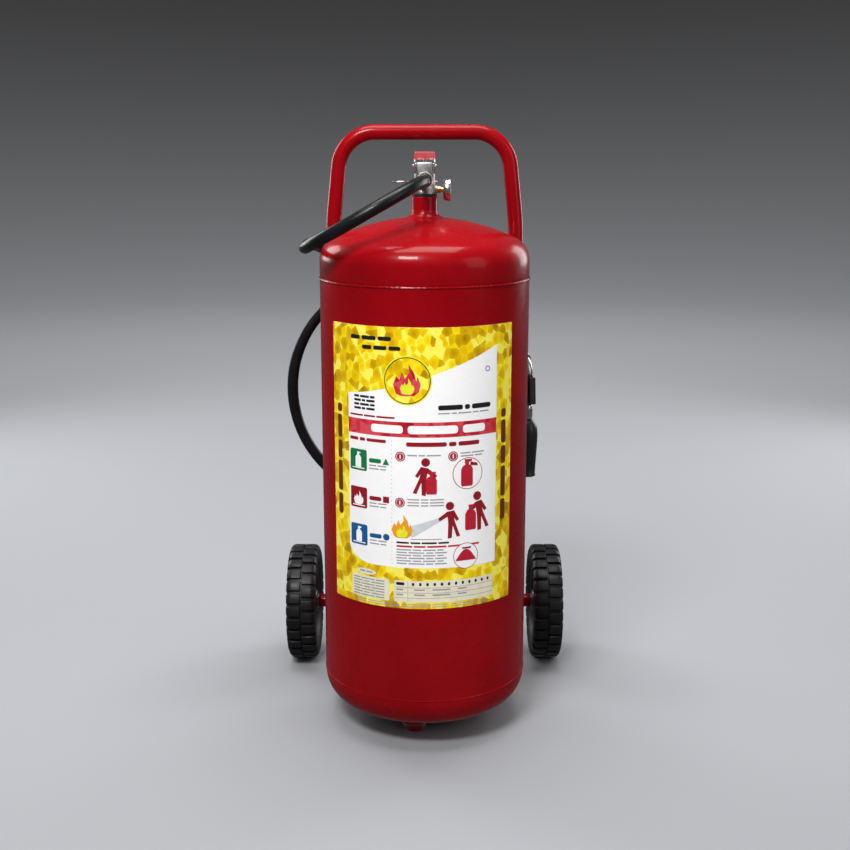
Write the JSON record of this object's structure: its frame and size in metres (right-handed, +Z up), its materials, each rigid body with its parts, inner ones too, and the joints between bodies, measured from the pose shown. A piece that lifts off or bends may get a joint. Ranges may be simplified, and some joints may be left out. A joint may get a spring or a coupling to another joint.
{
  "type": "wheeled fire extinguisher",
  "caption": "Large red dry-powder pressure vessel on a two-wheel tube carriage, with push handle, squeeze valve, gauge, coiled hose and clipped nozzle.",
  "frame": {"origin": "bottom centre of the bounding box without the hose, on the ground the wheels and foot stand on", "axes": "+Z up along the vessel axis, +X to the right seen from the labelled front, +Y to the rear where the wheels are"},
  "size_m": [0.606, 0.6307, 1.1758],
  "materials": {
    "red_paint": "glossy fire-red enamel over welded steel",
    "lever_red": "red coated pressed steel, worn bright on the cheeks",
    "nickel": "satin nickel-plated brass casting",
    "steel": "zinc-plated steel",
    "brass": "bare turned brass",
    "hose_rubber": "smooth black rubber",
    "black_plastic": "moulded black plastic",
    "tyre_rubber": "solid black rubber with moulded lugs",
    "rim_black": "black painted pressed steel",
    "nylon": "natural nylon",
    "label_film": "printed vinyl film, yellow border and white panel",
    "dial_white": "printed dial",
    "needle_red": "red needle",
    "lens_clear": "clear lens"
  },
  "bodies": {
    "chassis": {"cylinder_shell": "red_paint", "top_head": "red_paint", "bottom_head": "red_paint", "neck_collar": "red_paint", "foot": "red_paint", "hose_rack": "red_paint", "handle_frame": "red_paint", "axle_tube": "red_paint", "handle_gusset_left_upper": "red_paint", "handle_gusset_left_lower": "red_paint", "handle_gusset_right_upper": "red_paint", "handle_gusset_right_lower": "red_paint", "carriage_strut_left": "red_paint", "carriage_brace_left": "red_paint", "carriage_strut_right": "red_paint", "carriage_brace_right": "red_paint", "valve_body": "nickel", "outlet_nut": "nickel", "valve_spring": "steel", "carry_handle": "steel", "lever_pivot_pin": "steel", "handle_rivet": "steel", "gauge_case": "steel", "nozzle_elbow": "steel", "hose_ferrule_nozzle": "steel", "nozzle_lever_pin": "steel", "nozzle_coupling": "steel", "nozzle_clip": "steel", "axle_bar": "steel", "washer_inner_left": "steel", "washer_outer_left": "steel", "cotter_pin_left": "steel", "washer_inner_right": "steel", "washer_outer_right": "steel", "cotter_pin_right": "steel", "gauge_stem": "brass", "spring_seat": "brass", "discharge_hose": "hose_rubber", "hose_ferrule_valve": "hose_rubber", "neck_gasket": "hose_rubber", "nozzle_grip": "black_plastic", "discharge_horn": "black_plastic", "dip_tube": "nylon", "instruction_label": "label_film", "gauge_dial": "dial_white", "gauge_lens": "lens_clear"},
    "left_wheel": {"tyre_left": "tyre_rubber", "rim_left": "rim_black", "wheel_bush_left": "nylon"},
    "right_wheel": {"tyre_right": "tyre_rubber", "rim_right": "rim_black", "wheel_bush_right": "nylon"},
    "lever": {"operating_lever": "lever_red"},
    "stem": {"valve_stem": "steel"},
    "safety_pin_set": {"safety_pin": "steel", "pull_ring": "steel"},
    "needle": {"gauge_needle": "needle_red"},
    "nozzle_trigger": {"nozzle_lever": "black_plastic"}
  },
  "joints": [
    {"name": "left_wheel_spin", "type": "hinge", "parent": "chassis", "child": "left_wheel", "pos_m": [-0.2705, 0.18837, 0.127], "axis": [1, 0, 0], "continuous": true},
    {"name": "right_wheel_spin", "type": "hinge", "parent": "chassis", "child": "right_wheel", "pos_m": [0.2705, 0.18837, 0.127], "axis": [1, 0, 0], "continuous": true},
    {"name": "lever_squeeze", "type": "hinge", "parent": "chassis", "child": "lever", "pos_m": [0, -0.12562, 1.097], "axis": [-1, 0, 0], "range_deg": [0, 13], "stiffness_Nm_per_rad": 6, "springref_deg": -5.73},
    {"name": "valve_stem_travel", "type": "slide", "parent": "chassis", "child": "stem", "axis": [0, 0, -1], "range_m": [0, 0.0034], "deforming": ["valve_spring"]},
    {"name": "safety_pin_pull", "type": "slide", "parent": "chassis", "child": "safety_pin_set", "axis": [-1, 0, 0], "range_m": [0, 0.06]},
    {"name": "gauge_needle_sweep", "type": "hinge", "parent": "chassis", "child": "needle", "pos_m": [0.0431, -0.11463, 1.0535], "axis": [1, 0, 0], "range_deg": [-100, 80]},
    {"name": "nozzle_lever_squeeze", "type": "hinge", "parent": "chassis", "child": "nozzle_trigger", "pos_m": [0.21343, -0.04407, 0.676], "axis": [0.9272, 0.3745, 0], "range_deg": [0, 8], "stiffness_Nm_per_rad": 0.8, "springref_deg": -8.59}
  ],
  "couplings": [
    {"joint": "valve_stem_travel", "follows": "lever_squeeze", "m_per_rad": 0.014}
  ]
}
